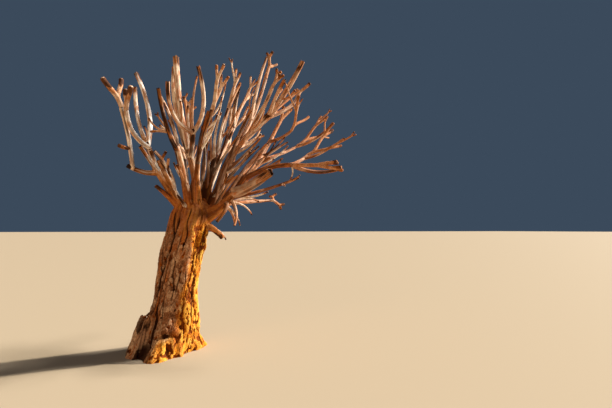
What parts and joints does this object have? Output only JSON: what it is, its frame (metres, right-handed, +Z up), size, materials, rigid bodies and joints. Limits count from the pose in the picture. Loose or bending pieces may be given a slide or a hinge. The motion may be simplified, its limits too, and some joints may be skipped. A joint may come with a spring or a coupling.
{
  "type": "kokerboom tree",
  "caption": "Whole dead kokerboom tree, rooted in level ground: a fluted, leaning trunk with a split buttress, forking boughs and a bare crown of smooth limbs and blunt leafless twigs.",
  "frame": {"origin": "middle of the flat cut under the trunk, at ground level", "axes": "+Z straight up, +X to the right and +Y to the back as seen from the tree's front"},
  "size_m": [3.6336, 2.4554, 4.645],
  "materials": {
    "bark": "flaky matte bark",
    "limb": "smooth weathered skin",
    "twig": "dry weathered twigs"
  },
  "bodies": {
    "root": {"trunk": "bark", "bough_back": "bark", "bough_back_left": "bark", "bough_centre": "bark", "bough_centre_left": "bark", "bough_left": "bark", "bough_mid": "bark", "bough_right": "bark", "bough_right_up": "bark", "limb_centre_small": "limb", "limb_dark": "limb", "limb_down": "limb", "limb_fat": "limb", "limb_fork_inner": "limb", "limb_left_back": "limb", "limb_left_inner": "limb", "limb_left_lit": "limb", "limb_left_low": "limb", "limb_left_outer": "limb", "limb_left_pair": "limb", "limb_left_tall": "limb", "limb_low": "limb", "limb_mid_dark": "bark", "limb_mid_far": "limb", "limb_mid_near": "limb", "limb_orange": "limb", "limb_pale": "limb", "limb_right_arch": "limb", "limb_right_end": "limb", "limb_right_low": "limb", "limb_right_mid": "limb", "limb_right_top": "limb", "limb_right_up": "limb", "limb_tall": "limb", "limb_thick_end": "limb", "limb_top": "limb", "limb_top_side": "limb", "limb_y_left": "limb", "limb_y_right": "limb", "limb_y_stem": "limb", "stub_orange": "bark", "stub_shoulder": "bark", "stump_fat": "limb", "twigs_back": "twig", "twigs_back_left": "twig", "twigs_centre_small": "twig", "twigs_left_lit": "twig", "twigs_left_outer": "twig", "twigs_low": "twig", "twigs_mid_dark": "twig", "twigs_mid_far": "twig", "twigs_mid_near": "twig", "twigs_right_arch": "twig", "twigs_right_end": "twig", "twigs_right_low": "twig", "twigs_right_mid": "twig", "twigs_right_top": "twig", "twigs_right_up": "twig", "twigs_top": "twig", "twigs_top_side": "twig"}
  },
  "joints": []
}
